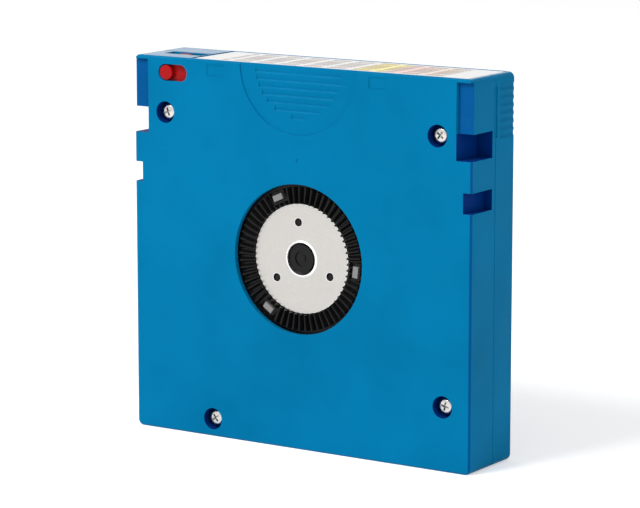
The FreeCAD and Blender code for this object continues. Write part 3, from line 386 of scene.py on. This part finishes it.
PLASTICS = {
    "case_plastic": dict(colour=CASE_BLUE, roughness=0.46, grain=0.30, depth=0.005, wear=0.30, dust=0.05,
                         scratches=0.10, gloss=0.02),
    # the darker blue here is painted shade; the lower roughness is the polished finish
    "case_polished_painted_shade": dict(colour=STRIP_SHADE_BLUE, roughness=0.26, grain=0.6, depth=0.0015, wear=0.25, dust=0.04,
                          scratches=0.12, gloss=0.03),
    "case_satin": dict(colour=CASE_BLUE, roughness=0.22, grain=0.45, depth=0.002, wear=0.25, dust=0.05,
                       gloss=0.5),
    # the near-navy blue here is painted shade in the notches and screw holes, on the case's own plastic
    "case_recess_painted_shade": dict(colour=RECESS_SHADE_BLUE, roughness=0.40, grain=0.6, depth=0.0015, wear=0.25, dust=0.04,
                        scratches=0.12, gloss=0.01),
    "reel_plastic": dict(colour=REEL_BLACK, roughness=0.34, grain=0.2, depth=0.003, wear=0.05, dust=0.02,
                         scratches=0.05, gloss=0.16, shade=0.2),
    "flange_plastic": dict(colour=(0.17, 0.175, 0.18), roughness=0.38, grain=0.25, depth=0.003, wear=0.1),
    "release_plastic": dict(colour=(0.22, 0.215, 0.21), roughness=0.40, grain=0.2, depth=0.003, wear=0.1),
    "brake_plastic": dict(colour=(0.62, 0.60, 0.55), roughness=0.42, grain=0.2, depth=0.003, wear=0.1),
    "clamp_plastic": dict(colour=(0.03, 0.03, 0.032), roughness=0.45, grain=0.2, depth=0.003, wear=0.1),
    "door_plastic": dict(colour=(0.035, 0.036, 0.038), roughness=0.40, grain=0.22, depth=0.004, wear=0.1),
    "slider_plastic": dict(colour=FLAG_RED, roughness=0.33, grain=0.25, depth=0.003, wear=0.08, dust=0.04,
                           scratches=0.10, gloss=0.12),
    "chip_epoxy": dict(colour=(0.02, 0.02, 0.021), roughness=0.5, grain=0.15, depth=0.004, wear=0.05),
}
METALS = {
    "screw_steel": dict(colour=(0.62, 0.61, 0.59), roughness=0.24),
    "spring_steel": dict(colour=(0.60, 0.59, 0.57), roughness=0.24),
    "pin_steel": dict(colour=(0.66, 0.65, 0.64), roughness=0.18),
    "track_copper": dict(colour=(0.80, 0.42, 0.24), roughness=0.30),
}
PLATE_LIP_R = 4.9         # outside of the near-white ring of painted glint round the plate's bore
reel_centre = middle_of("hub_plate")
finish = {name: moulded_plastic(name, **look) for name, look in PLASTICS.items()}
finish |= {name: metal(name, **look) for name, look in METALS.items()}
finish |= {
    "plate_steel": turned_steel("plate_steel", reel_centre, PLATE_LIP_R),
    "label_paper": printed_label("label_paper", middle_of("label")[1]),
    "tape_film": wound_tape("tape_film", reel_centre),
    "board_laminate": circuit_laminate("board_laminate"),
}


# ---- mesh helpers ---------------------------------------------------------
def has_room(edge, surface, reach):
    """Whether both faces beside an edge carry on for a distance from it."""
    for loop in edge.link_loops:
        start, end = loop.vert.co, loop.link_loop_next.vert.co
        length = (end - start).length
        inward = loop.face.normal.cross(end - start).normalized() * reach
        flattest = FLAT if len(loop.face.verts) > 4 else CURVED
        margin = min(reach / length, 0.5)
        steps = 2 + int(length / (ROOM_STEP * reach))
        for i in range(steps + 1):
            share = margin + (1.0 - 2.0 * margin) * i / steps
            _, normal, _, gap = surface.find_nearest(start.lerp(end, share) + inward)
            if normal.dot(loop.face.normal) < flattest or gap > ROOM_GAP * reach:
                return False
    return True


def crossing_corners(bm, least):
    """Corners beside the places where a face's outline crosses itself."""
    extra = {}
    for loops in bm.calc_loop_triangles():
        a, b, c = (loop.vert.co for loop in loops)
        face = loops[0].face
        extra[face] = extra.get(face, -face.calc_area()) + (b - a).cross(c - a).length / 2
    found = []
    for face in (face for face, area in extra.items() if area > least):
        upright = face.normal.rotation_difference(Vector((0, 0, 1)))
        corners = [v.co.copy() for v in face.verts]
        flat = [(upright @ corner).to_2d() for corner in corners]
        for i in range(2, len(flat)):
            for j in range(0 if i < len(flat) - 1 else 1, i - 1):
                if intersect_line_line_2d(flat[i - 1], flat[i], flat[j - 1], flat[j]):
                    found += [corners[i - 1], corners[i], corners[j - 1], corners[j]]
    return found


def break_edges(bm, width_mm):
    """A copy with its sharp outer edges rounded, apart from those that meet in too tight a corner."""
    width = width_mm * MM
    surface = BVHTree.FromBMesh(bm)
    corners = KDTree(len(bm.verts))
    for vert in bm.verts:
        corners.insert(vert.co, vert.index)
    corners.balance()
    outer = [e.index for e in bm.edges if e.is_manifold and e.is_convex
             and e.calc_face_angle() > math.radians(SHARP) and has_room(e, surface, ROUNDING_ROOM * width)]
    tight = set()
    while True:
        rounded = bm.copy()
        wear_and_highlight = rounded.faces.layers.float.new(BEVEL_STRIP)
        rounded.edges.ensure_lookup_table()
        edges = [rounded.edges[i] for i in outer]
        edges = [e for e in edges if not tight & {e.verts[0].index, e.verts[1].index}]
        strips = bmesh.ops.bevel(rounded, geom=edges, offset=width, offset_type="OFFSET", affect="EDGES",
                                 segments=2, profile=0.5, material=-1, clamp_overlap=False)["faces"]
        for face in strips:
            face[wear_and_highlight] = 1.0
        off_surface = [v.co for v in rounded.verts if surface.find_nearest(v.co)[3] > THROWN * width]
        failed = off_surface + crossing_corners(rounded, FOLDED * width ** 2)
        thrown = {corners.find(spot)[1] for spot in failed} - tight
        if not thrown:
            bm.free()
            return rounded
        tight |= thrown
        rounded.free()


def piece(name, bm, body, slot, node_names=(), others=(), edge=0.0):
    """A finished piece from a bmesh, riding on a body in place of CAD nodes."""
    if edge:
        bm = break_edges(bm, edge)
    mesh = bpy.data.meshes.new(name)
    bm.to_mesh(mesh)
    bm.free()
    if "custom_normal" in mesh.attributes:
        mesh.attributes.remove(mesh.attributes["custom_normal"])
    for finish_name in (slot, *others):
        mesh.materials.append(finish[finish_name])
    mesh.shade_smooth()
    mesh.set_sharp_from_angle(angle=math.radians(SHARP))
    made = bpy.data.objects.new(name, mesh)
    bpy.context.scene.collection.objects.link(made)
    made.modifiers.new("Flat faces", "WEIGHTED_NORMAL").keep_sharp = True
    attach(made, body)
    if node_names:
        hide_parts(*node_names)
    return made


def join_up(bm):
    """Merges the corners that share a place and the faces that share a plane."""
    bmesh.ops.remove_doubles(bm, verts=bm.verts, dist=SAME_PLACE * MM)
    bmesh.ops.dissolve_limit(bm, angle_limit=math.radians(SAME_PLANE), verts=bm.verts, edges=bm.edges)


def merged(node_name):
    """Merged copy of a CAD node's mesh."""
    bm = bmesh.new()
    bm.from_mesh(nodes[node_name].data)
    for face in bm.faces:
        face.material_index = 0
    join_up(bm)
    return bm


def dressed(node_name, body, slot, edge, others=(), sort=None, prepare=None):
    """A CAD node's own shape with its edges broken.

    prepare changes the merged mesh first, and sort gives the number of each face's finish.
    """
    bm = merged(node_name)
    if prepare:
        prepare(bm)
    bm.verts.index_update()
    bm.edges.index_update()
    if sort:
        for face in bm.faces:
            face.material_index = sort(face.calc_center_median() / MM, face.normal)
    piece(node_name + "_dressed", bm, body, slot, [node_name], others, edge)


def lathe(points, steps):
    """Turned solid from a (radius, height) profile, in millimetres; ends on the axis are closed."""
    bm = bmesh.new()
    verts = [bm.verts.new((r * MM, 0.0, h * MM)) for r, h in points]
    for a, b in zip(verts, verts[1:]):
        bm.edges.new((a, b))
    bmesh.ops.spin(bm, geom=bm.verts[:] + bm.edges[:], axis=(0, 0, 1), cent=(0, 0, 0), angle=math.tau,
                   steps=steps, use_merge=True)
    bmesh.ops.remove_doubles(bm, verts=bm.verts, dist=0.001 * MM)
    return bm


def hub_side(node_name):
    """Where a shape turned about Z goes, to face -Y at the middle of a node's side."""
    middle = Vector(middle_of(node_name))
    middle.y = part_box(node_name)[0][1]
    return Matrix.Translation(middle) @ Matrix.Rotation(math.radians(90), 4, "X")


def open_loop(bm, height):
    """Boundary edges of an opening at a height, in millimetres."""
    return [e for e in bm.edges if e.is_boundary and abs(e.verts[0].co.z - height * MM) < 0.01 * MM]


# ---- screws ---------------------------------------------------------------
HEAD_PROFILE = ((1.30, 0.0), (1.62, -0.05), (1.92, -0.20), (2.11, -0.48), (2.20, -0.90), (2.20, -1.94),
                (2.14, -2.0), (1.20, -2.0))     # radius, height; from the recess to the shank
HEAD_STEPS = 40
CROSS_W = 0.27            # half width of the recess's arms
CROSS_REACH = 1.12
CROSS_DEPTH = 0.95
CROSS_PROUD = 0.03        # mouth of the recess over the head's rim
CROSS_TAPER = 0.62        # width of its foot, as a share of its mouth's
SHANK_R = 1.20
THREAD_ROOT_R = 0.92
THREAD_PITCH = 0.9
THREAD_START = -3.0
THREAD_END_ROOM = 1.6     # thread's end to the tip
TIP_R = 0.9
TIP_L = 1.0
CROSS_TURNS = (18, 52, -12, 35)     # degrees, one for each screw


def screw(node_name, turn):
    """Pan-head screw with a tapered cross recess and a coarse thread, facing -Y."""
    low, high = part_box(node_name)
    length = (high[1] - low[1]) / MM
    profile = list(HEAD_PROFILE)
    height = THREAD_START
    while height > -length + THREAD_END_ROOM:
        profile += [(SHANK_R, height), (THREAD_ROOT_R, height - THREAD_PITCH / 2)]
        height -= THREAD_PITCH
    profile += [(TIP_R, -length + TIP_L), (0.0, -length)]
    bm = lathe(profile, HEAD_STEPS)
    rim = open_loop(bm, 0.0)
    w, r = CROSS_W * MM, CROSS_REACH * MM
    outline = [(w, r), (-w, r), (-w, w), (-r, w), (-r, -w), (-w, -w),
               (-w, -r), (w, -r), (w, -w), (r, -w), (r, w), (w, w)]
    corners = [bm.verts.new((x, y, CROSS_PROUD * MM)) for x, y in outline]
    cross = [bm.edges.new(ends) for ends in zip(corners, corners[1:] + corners[:1])]
    bmesh.ops.bridge_loops(bm, edges=rim + cross)
    sunk = bmesh.ops.extrude_edge_only(bm, edges=cross)["geom"]
    sunk_verts = [v for v in sunk if isinstance(v, bmesh.types.BMVert)]
    sunk_edges = [e for e in sunk if isinstance(e, bmesh.types.BMEdge)]
    bmesh.ops.translate(bm, verts=sunk_verts, vec=(0, 0, -CROSS_DEPTH * MM))
    bmesh.ops.scale(bm, verts=sunk_verts, vec=(CROSS_TAPER, CROSS_TAPER, 1.0))
    bmesh.ops.contextual_create(bm, geom=sunk_edges)
    bmesh.ops.recalc_face_normals(bm, faces=bm.faces)
    bm.transform(hub_side(node_name) @ Matrix.Rotation(math.radians(turn), 4, "Z"))
    piece(node_name + "_pan_head", bm, "case", "screw_steel", [node_name])


for number, turn in enumerate(CROSS_TURNS, 1):
    screw("case_screw_%d" % number, turn)


# ---- springs --------------------------------------------------------------
WIRE_SIDES = 10
STEPS_A_TURN = 24
SPRINGS = (("brake_spring", 0.40, 4.5, 1, "brake_lift"),     # node, wire radius, turns, axis, joint
           ("door_spring", 0.14, 15.5, 2, "door_slide"))


def compression_spring(radius, wire, turns, length):
    """Round-wire coil along +Z from the origin, in millimetres."""
    bm = bmesh.new()
    bmesh.ops.create_circle(bm, cap_ends=False, radius=wire * MM, segments=WIRE_SIDES,
                            matrix=Matrix.Translation((radius * MM, 0, wire * MM))
                            @ Matrix.Rotation(math.radians(90), 4, "X"))
    steps = int(turns * STEPS_A_TURN)
    rise = (length - 2 * wire) * MM / steps
    bmesh.ops.spin(bm, geom=bm.verts[:] + bm.edges[:], axis=(0, 0, 1), cent=(0, 0, 0), dvec=(0, 0, rise),
                   angle=math.tau * turns, steps=steps)
    bmesh.ops.holes_fill(bm, edges=[e for e in bm.edges if e.is_boundary])
    bmesh.ops.recalc_face_normals(bm, faces=bm.faces)
    return bm


def spring(node_name, wire, turns, axis, joint):
    """Coil in the space of its CAD node, at the node's full length; joint is not used."""
    low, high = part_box(node_name)
    free = high[axis] - low[axis]
    radius = (high[0] - low[0]) / 2 / MM - wire
    bm = compression_spring(radius, wire, turns, free / MM)
    base = Vector(middle_of(node_name))
    base[axis] = low[axis]
    turn = Matrix.Rotation(math.radians(-90), 4, "X") if axis == 1 else Matrix.Identity(4)
    bm.transform(Matrix.Translation(base) @ turn)
    made = piece(node_name + "_round_wire", bm, "case", "spring_steel", [node_name])
    anchor = list(base)
    anchor[axis] = high[axis]
    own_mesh(made)


for details in SPRINGS:
    spring(*details)


# ---- case -----------------------------------------------------------------
case_low, case_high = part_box("hub_shell")
HALF_W = (case_high[0] - case_low[0]) / 2 / MM
TOP = case_high[2] / MM
HUB_FACE = case_low[1] / MM
# the first and third of these finishes are darker blues of painted shade
SHELL_FINISHES = ("case_polished_painted_shade", "case_satin", "case_recess_painted_shade")
RIM_CHAMFER = 0.5
SHORTEST_STUB = 0.1       # of an upright edge that the chamfer is run on over
STRIP_FLOOR = (0.5, 1.6)  # depths that hold the floors of the strips
NOTCH_TOP = TOP - 14.1    # of the upper notches
NOTCHES_END = TOP - 36.0  # under the lower ones
NOTCH_WALL = (4.0, 5.0)   # side of the case to the upper notches' inner walls
CLOSE = 0.01              # how near a corner is to the outer faces that it lies on
JUST_UNDER = 0.02         # tells a pocket's faces from the outer faces
LABEL_FLOOR_DROP = 0.3    # top of the case to under the label's floor
SCREW_HOLE_R = 3.2        # room round a screw's axis
SCREW_HOLE_DEPTH = 4.0
POST_INSET = 4.25         # the slider's left end to the axis of its post
POST_DROP = 4.3           # label edge to that axis
POST_ROOT_DEPTH = 1.6     # hub face to the foot of the post
POST_SHARE = 0.985        # width that the post keeps

screw_axes = [(x / MM, z / MM) for x, _, z in (middle_of("case_screw_%d" % n) for n in (1, 2, 3, 4))]


def finish_corners(bm):
    """Runs the upright chamfers on to the notches, and splits the walls that notch and strip share."""
    def square(vert):
        return abs(vert.co.y / MM - HUB_FACE) < CLOSE and HALF_W - abs(vert.co.x / MM) < CLOSE

    stubs = [e for e in bm.edges if all(square(v) for v in e.verts)
             and abs(e.verts[0].co.z - e.verts[1].co.z) > SHORTEST_STUB * MM]
    bmesh.ops.bevel(bm, geom=stubs, offset=RIM_CHAMFER * MM, offset_type="OFFSET", affect="EDGES",
                    segments=1, profile=0.5, material=-1, clamp_overlap=False)
    join_up(bm)
    nearest, farthest = NOTCH_WALL
    walls = [f for f in bm.faces if abs(f.normal.x) > 0.9
             and nearest < HALF_W - abs(f.calc_center_median().x) / MM < farthest]
    edges = {e for f in walls for e in f.edges}
    verts = {v for f in walls for v in f.verts}
    bmesh.ops.bisect_plane(bm, geom=[*verts, *edges, *walls], dist=0.001 * MM,
                           plane_co=(0, 0, NOTCH_TOP * MM), plane_no=(0, 0, 1))


def shell_finish(centre, normal):
    """Polished strips and upright corners in a darker blue of painted shade (1), a satin label edge (2),
    polished notches and holes in a near-navy blue of painted shade (3).
    """
    x, z = abs(centre.x), centre.z
    inset = HALF_W - x
    depth = centre.y - HUB_FACE
    strip_start, strip_end = STRIP_FLOOR
    if inset < NOTCH_WALL[1] and strip_start < depth < strip_end and z > NOTCH_TOP and normal.y < -0.7:
        return 1
    if depth < RIM_CHAMFER and inset < RIM_CHAMFER and normal.y < -0.3 and abs(normal.x) > 0.3:
        return 1
    if normal.z > 0.9 and z > TOP - LABEL_FLOOR_DROP:
        return 2
    notch = (JUST_UNDER < inset < NOTCH_WALL[1] and NOTCHES_END < z < NOTCH_TOP + 0.1
             and HUB_FACE + JUST_UNDER < centre.y < 0.0)
    screw_hole = JUST_UNDER < depth < SCREW_HOLE_DEPTH and any(
        math.hypot(centre.x - a, z - b) < SCREW_HOLE_R for a, b in screw_axes)
    # notches and screw holes take finish 3, the near-navy painted shade
    return 3 if notch or screw_hole else 0


dressed("hub_shell", "case", "case_plastic", SHELL_EDGE, SHELL_FINISHES, shell_finish, finish_corners)
dressed("plain_shell", "case", "case_plastic", SHELL_EDGE, SHELL_FINISHES, shell_finish)
dressed("door", "door", "door_plastic", SHELL_EDGE)


def clear_window_end(bm):
    """Takes a hair off the slider's post, so that it stops just short of its window's end."""
    (left, _, _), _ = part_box("write_protect_slider")
    axis = Vector((left + POST_INSET * MM, 0.0, (TOP - POST_DROP) * MM))
    post = [v for v in bm.verts if v.co.y < (HUB_FACE + POST_ROOT_DEPTH) * MM]
    bmesh.ops.scale(bm, verts=post, vec=(POST_SHARE, 1.0, POST_SHARE), space=Matrix.Translation(-axis))


dressed("write_protect_slider", "write_protect", "slider_plastic", SHELL_EDGE, prepare=clear_window_end)

# ---- reel and brake -------------------------------------------------------
TAPE_IN_R = 22.05
SHOWN_TURNS = 44
TURN_STEP = 0.05          # most that a turn steps in from a side of the pack
PACK_STEPS = 96

dressed("reel_hub", "reel", "reel_plastic", FINE_EDGE)
dressed("hub_plate", "reel", "plate_steel", SHELL_EDGE)
dressed("reel_flange", "reel", "flange_plastic", SHELL_EDGE)
dressed("release_plate", "release", "release_plastic", SMALL_EDGE)
dressed("brake_button", "brake", "brake_plastic", FINE_EDGE)


def tape_turns():
    """Wound pack whose turns step in and out by a hair."""
    low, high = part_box("tape_pack")
    outer_r = (high[0] - low[0]) / 2 / MM
    depth = (high[1] - low[1]) / MM
    draw = random.Random(7)
    radii = [TAPE_IN_R + (outer_r - TAPE_IN_R) * i / SHOWN_TURNS for i in range(SHOWN_TURNS + 1)]
    top, bottom = [], []
    for a, b in zip(radii, radii[1:]):
        lift = draw.uniform(0.0, TURN_STEP)
        top += [(a, -lift), (b, -lift)]
        drop = draw.uniform(0.0, TURN_STEP)
        bottom += [(a, -depth + drop), (b, -depth + drop)]
    bm = lathe(top + bottom[::-1] + top[:1], PACK_STEPS)
    bmesh.ops.recalc_face_normals(bm, faces=bm.faces)
    bm.transform(hub_side("tape_pack"))
    piece("tape_pack_turns", bm, "reel", "tape_film", ["tape_pack"])


tape_turns()

# ---- leader pin -----------------------------------------------------------
dressed("leader_pin", "case", "pin_steel", PIN_EDGE)
dressed("tape_leader", "case", "tape_film", 0.0)
dressed("tape_clamp", "case", "clamp_plastic", SMALL_EDGE)
dressed("pin_spring", "case", "spring_steel", FINE_EDGE)


# ---- label ----------------------------------------------------------------
LABEL_CORNER_R = 0.7


def paper_label():
    """Thin label with small round corners."""
    low, high = (Vector(corner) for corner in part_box("label"))
    bm = bmesh.new()
    bmesh.ops.create_cube(bm, size=1.0)
    bmesh.ops.scale(bm, verts=bm.verts, vec=high - low)
    bmesh.ops.translate(bm, verts=bm.verts, vec=(low + high) / 2)
    upright = [e for e in bm.edges if abs(e.verts[0].co.z - e.verts[1].co.z) > 0.05 * MM]
    bmesh.ops.bevel(bm, geom=upright, offset=LABEL_CORNER_R * MM, offset_type="OFFSET", affect="EDGES",
                    segments=5, profile=0.5, material=-1)
    piece("label_paper_sheet", bm, "case", "label_paper", ["label"])


paper_label()


# ---- memory board ---------------------------------------------------------
BOARD_LEAN = -45.0        # degrees about X
BOARD_FACE = 0.31         # middle of the board to its face, in millimetres
COIL_HALF = (7.6, 3.8)    # outermost track's half length and half width
COIL_PITCH = (0.55, 0.36)
COIL_TRACKS = 5
TRACK_W = 0.2
TRACK_T = 0.04
RESIN_R, RESIN_H = 1.65, 0.65


def memory_coil(seat):
    """Copper tracks that lie one inside the other on the board."""
    bm = bmesh.new()
    for track in range(COIL_TRACKS):
        half_x, half_y = (half - track * pitch for half, pitch in zip(COIL_HALF, COIL_PITCH))
        ring = bmesh.ops.create_grid(bm, x_segments=1, y_segments=1, size=1.0)["verts"]
        bmesh.ops.scale(bm, verts=ring, vec=(half_x * MM, half_y * MM, 1.0))
        face = ring[0].link_faces[0]
        bmesh.ops.inset_region(bm, faces=[face], thickness=TRACK_W * MM, use_boundary=True)
        bmesh.ops.delete(bm, geom=[face], context="FACES")
    walls = bmesh.ops.extrude_face_region(bm, geom=bm.faces[:])["geom"]
    raised = [v for v in walls if isinstance(v, bmesh.types.BMVert)]
    bmesh.ops.translate(bm, verts=raised, vec=(0, 0, TRACK_T * MM))
    bmesh.ops.recalc_face_normals(bm, faces=bm.faces)
    bm.transform(seat)
    piece("memory_coil", bm, "case", "track_copper")


def memory_resin(seat):
    """Flat blob of resin over the chip."""
    bm = bmesh.new()
    bmesh.ops.create_uvsphere(bm, u_segments=24, v_segments=12, radius=1.0)
    bmesh.ops.bisect_plane(bm, geom=bm.verts[:] + bm.edges[:] + bm.faces[:], plane_co=(0, 0, 0),
                           plane_no=(0, 0, 1), clear_inner=True)
    bmesh.ops.remove_doubles(bm, verts=bm.verts, dist=0.001)
    bmesh.ops.holes_fill(bm, edges=[e for e in bm.edges if e.is_boundary])
    bmesh.ops.scale(bm, verts=bm.verts, vec=(RESIN_R * MM, RESIN_R * MM, RESIN_H * MM))
    bm.transform(seat)
    piece("memory_resin", bm, "case", "chip_epoxy", ["memory_chip"])


dressed("memory_board", "case", "board_laminate", SMALL_EDGE)
lean = Matrix.Rotation(math.radians(BOARD_LEAN), 4, "X")
to_face = lean @ Vector((0, 0, BOARD_FACE * MM))
board_seat = Matrix.Translation(Vector(middle_of("memory_board")) + to_face) @ lean
memory_coil(board_seat)
memory_resin(board_seat)


# ---- studio ---------------------------------------------------------------
FLOOR_R = 6.0             # metres
FLOOR_STEPS = 64
FLOOR_GLOW = 0.40         # makes the floor white to the camera, and keeps the shadow
ROOM_LIGHT = 0.50
AIM = (0.0, 0.0, 0.051)   # middle of the case, in metres
CAMERA_PLACE = (0.4379, -0.6669, 0.1931)
LENS, SENSOR = 172.0, 36.0          # millimetres
NEAREST = 0.01            # metres


def seen_directly(tree):
    """1 for the camera's rays and for reflections, 0 for light."""
    ray = add(tree, "ShaderNodeLightPath").outputs
    return maths(tree, "MAXIMUM", maths(tree, "MAXIMUM", ray["Is Camera Ray"], ray["Is Glossy Ray"]),
                 ray["Is Transmission Ray"])


def studio_floor():
    bm = bmesh.new()
    bmesh.ops.create_circle(bm, cap_ends=True, radius=FLOOR_R, segments=FLOOR_STEPS)
    mesh = bpy.data.meshes.new("studio_floor")
    bm.to_mesh(mesh)
    bm.free()
    made, tree, shader = material("studio_floor", Roughness=0.9, Specular_IOR_Level=0.1)
    cloud = noise(tree, size=400.0, detail=2.0)
    tree.links.new(mixed(tree, cloud, (0.90, 0.90, 0.90), (0.92, 0.92, 0.92)), shader.inputs["Base Color"])
    shader.inputs["Emission Color"].default_value = (1.0, 1.0, 1.0, 1.0)
    glow = maths(tree, "MULTIPLY", seen_directly(tree), FLOOR_GLOW)
    tree.links.new(glow, shader.inputs["Emission Strength"])
    mesh.materials.append(made)
    floor = bpy.data.objects.new("studio_floor", mesh)
    bpy.context.scene.collection.objects.link(floor)


def studio_world():
    """White to the camera and in reflections, and softer as a light."""
    world = bpy.data.worlds.new("studio_world")
    bpy.context.scene.world = world
    world.use_nodes = True
    tree = world.node_tree
    background = tree.nodes["Background"]
    background.inputs["Color"].default_value = (1.0, 1.0, 1.0, 1.0)
    strength = ramp(tree, seen_directly(tree), 0.0, 1.0, ROOM_LIGHT, 1.0)
    tree.links.new(strength, background.inputs["Strength"])


def aimed(name, data, place_at):
    """A lamp or a camera that faces AIM."""
    made = bpy.data.objects.new(name, data)
    made.location = place_at
    made.rotation_euler = (Vector(AIM) - Vector(place_at)).to_track_quat("-Z", "Y").to_euler()
    bpy.context.scene.collection.objects.link(made)
    return made


def soft_box(name, place_at, size, watts):
    light = bpy.data.lights.new(name, "AREA")
    light.shape = "RECTANGLE"
    light.size = light.size_y = size
    light.energy = watts
    aimed(name, light, place_at)


def studio_camera():
    camera = bpy.data.cameras.new("studio_camera")
    camera.lens = LENS
    camera.sensor_width = SENSOR
    camera.clip_start = NEAREST
    return aimed("studio_camera", camera, CAMERA_PLACE)


studio_floor()
studio_world()
soft_box("key_soft_box", (-0.45, -1.0, 1.15), 0.6, 17.0)
soft_box("side_soft_box", (1.30, -0.35, 0.50), 0.8, 3.0)
bpy.context.scene.camera = studio_camera()
bpy.context.scene.view_settings.view_transform = "Standard"
